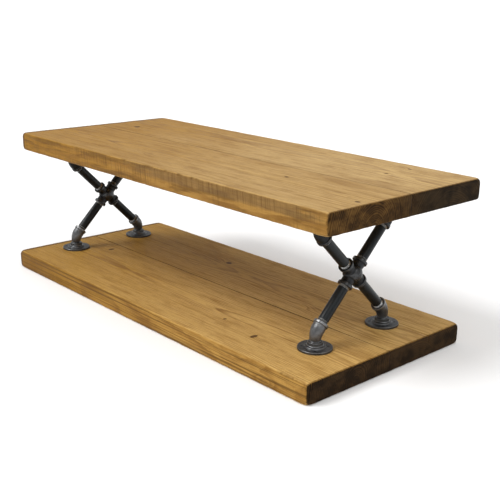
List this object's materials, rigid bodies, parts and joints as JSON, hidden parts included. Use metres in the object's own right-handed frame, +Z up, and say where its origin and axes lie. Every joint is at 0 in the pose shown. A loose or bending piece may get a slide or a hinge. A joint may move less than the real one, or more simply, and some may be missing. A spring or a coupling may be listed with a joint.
{
  "type": "coffee table",
  "caption": "Two-tier coffee table with a thick plank top and floor-standing plank shelf joined by X-shaped pipe frames.",
  "frame": {"origin": "on the floor, under the middle of the whole table's outline", "axes": "+X along the slabs to the right end, +Y from the front to the back, +Z up"},
  "size_m": [1.322, 0.583, 0.434],
  "materials": {
    "waxed_pine": "sanded pine with a honey-brown wax, darker on the end grain",
    "beech_dowel": "bare beech",
    "black_pipe": "blackened steel tube, satin, bright where the thread is cut",
    "black_iron_fitting": "malleable iron casting, oiled, dark grey satin",
    "black_screw": "blackened steel, satin"
  },
  "bodies": {
    "root": {"left_cross": "black_iron_fitting", "left_lower_back_elbow": "black_iron_fitting", "left_lower_back_flange": "black_iron_fitting", "left_lower_back_pipe": "black_pipe", "left_lower_back_screws": "black_screw", "left_lower_front_elbow": "black_iron_fitting", "left_lower_front_flange": "black_iron_fitting", "left_lower_front_pipe": "black_pipe", "left_lower_front_screws": "black_screw", "left_upper_back_elbow": "black_iron_fitting", "left_upper_back_flange": "black_iron_fitting", "left_upper_back_pipe": "black_pipe", "left_upper_back_screws": "black_screw", "left_upper_front_elbow": "black_iron_fitting", "left_upper_front_flange": "black_iron_fitting", "left_upper_front_pipe": "black_pipe", "left_upper_front_screws": "black_screw", "right_cross": "black_iron_fitting", "right_lower_back_elbow": "black_iron_fitting", "right_lower_back_flange": "black_iron_fitting", "right_lower_back_pipe": "black_pipe", "right_lower_back_screws": "black_screw", "right_lower_front_elbow": "black_iron_fitting", "right_lower_front_flange": "black_iron_fitting", "right_lower_front_pipe": "black_pipe", "right_lower_front_screws": "black_screw", "right_upper_back_elbow": "black_iron_fitting", "right_upper_back_flange": "black_iron_fitting", "right_upper_back_pipe": "black_pipe", "right_upper_back_screws": "black_screw", "right_upper_front_elbow": "black_iron_fitting", "right_upper_front_flange": "black_iron_fitting", "right_upper_front_pipe": "black_pipe", "right_upper_front_screws": "black_screw", "shelf_board_back": "waxed_pine", "shelf_board_front": "waxed_pine", "shelf_dowels": "beech_dowel", "top_board_back": "waxed_pine", "top_board_front": "waxed_pine", "top_dowels": "beech_dowel"}
  },
  "joints": []
}
